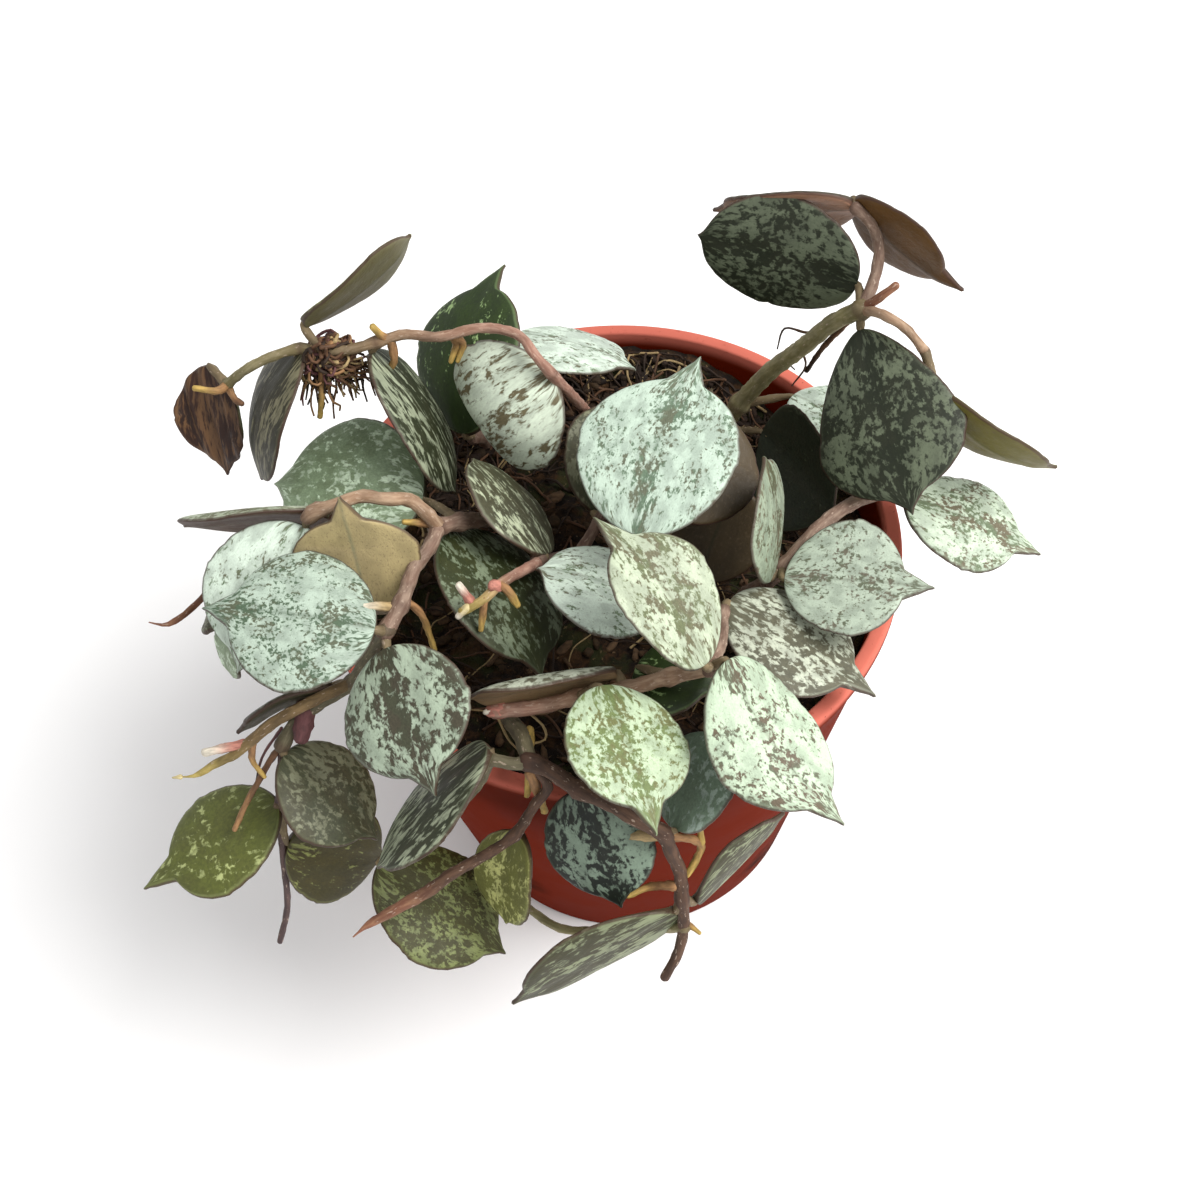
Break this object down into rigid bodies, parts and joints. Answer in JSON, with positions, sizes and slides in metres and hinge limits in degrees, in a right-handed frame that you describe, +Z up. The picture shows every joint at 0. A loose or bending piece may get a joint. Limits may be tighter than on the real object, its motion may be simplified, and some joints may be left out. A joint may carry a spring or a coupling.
{
  "type": "potted trailing wax plant",
  "caption": "Small trailing wax plant with silver-flecked spade-shaped leaves, in a terracotta-coloured plastic nursery pot",
  "frame": {"origin": "Centre of the pot's underside, on the surface that the pot stands on", "axes": "+Z runs up the pot's axis, -Y is the front that faces the picture's viewer and +X is to the viewer's right"},
  "size_m": [0.1337, 0.1042, 0.1148],
  "materials": {
    "pot": "satin moulded plastic, terracotta orange",
    "potting_mix": "loose bark and coco fibre, dark brown",
    "vine": "waxy grey-green leaves with silver flecks on pinkish brown stems"
  },
  "bodies": {
    "root": {"pot": "pot", "potting_mix": "potting_mix", "vine_back_right": "vine", "vine_right": "vine", "vine_right_front": "vine", "vine_center": "vine", "vine_back_left": "vine", "vine_back": "vine", "vine_left": "vine", "vine_center_left": "vine", "vine_front": "vine"}
  },
  "joints": []
}
